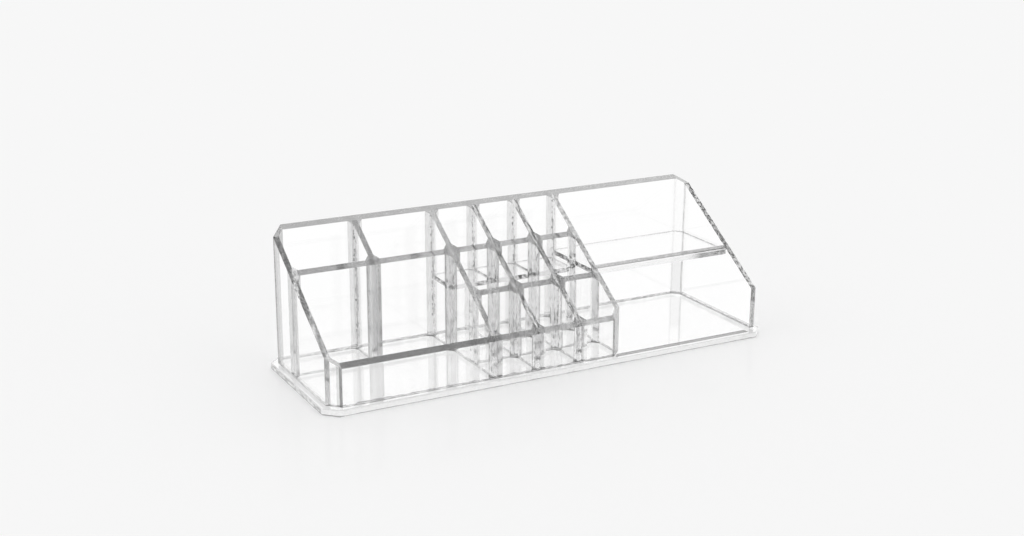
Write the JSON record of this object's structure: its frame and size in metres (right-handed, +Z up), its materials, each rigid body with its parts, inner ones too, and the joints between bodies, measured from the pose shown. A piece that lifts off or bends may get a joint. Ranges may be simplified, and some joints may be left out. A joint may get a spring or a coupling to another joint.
{
  "type": "vanity organizer",
  "caption": "Clear countertop organizer with a sloping top line: tall wells, a low front tray, a grid of square lipstick cells and an open bay with a shelf, on a flanged base plate.",
  "frame": {"origin": "middle of the base plate's underside, on the table", "axes": "+X along the length towards the open bay with the shelf, +Z up; the low front faces -Y and the tall back +Y"},
  "size_m": [0.3048, 0.0996, 0.0885],
  "materials": {
    "clear_acrylic": "clear, polished"
  },
  "bodies": {
    "root": {"base_plate": "clear_acrylic", "back_panel": "clear_acrylic", "left_end_panel": "clear_acrylic", "right_end_panel": "clear_acrylic", "front_panel": "clear_acrylic", "rear_cross_panel": "clear_acrylic", "middle_cross_panel": "clear_acrylic", "well_divider": "clear_acrylic", "tray_divider": "clear_acrylic", "left_cell_divider": "clear_acrylic", "right_cell_divider": "clear_acrylic", "bay_divider": "clear_acrylic", "rear_left_corner_strip": "clear_acrylic", "rear_right_corner_strip": "clear_acrylic", "front_left_corner_strip": "clear_acrylic", "cell_block_corner_strip": "clear_acrylic", "raised_cell_floors": "clear_acrylic", "shelf_panel": "clear_acrylic", "shelf_lip": "clear_acrylic", "bay_floor_lip": "clear_acrylic", "back_panel_fillets": "clear_acrylic", "rear_cross_fillets": "clear_acrylic", "middle_cross_fillets": "clear_acrylic", "front_panel_fillets": "clear_acrylic"}
  },
  "joints": []
}
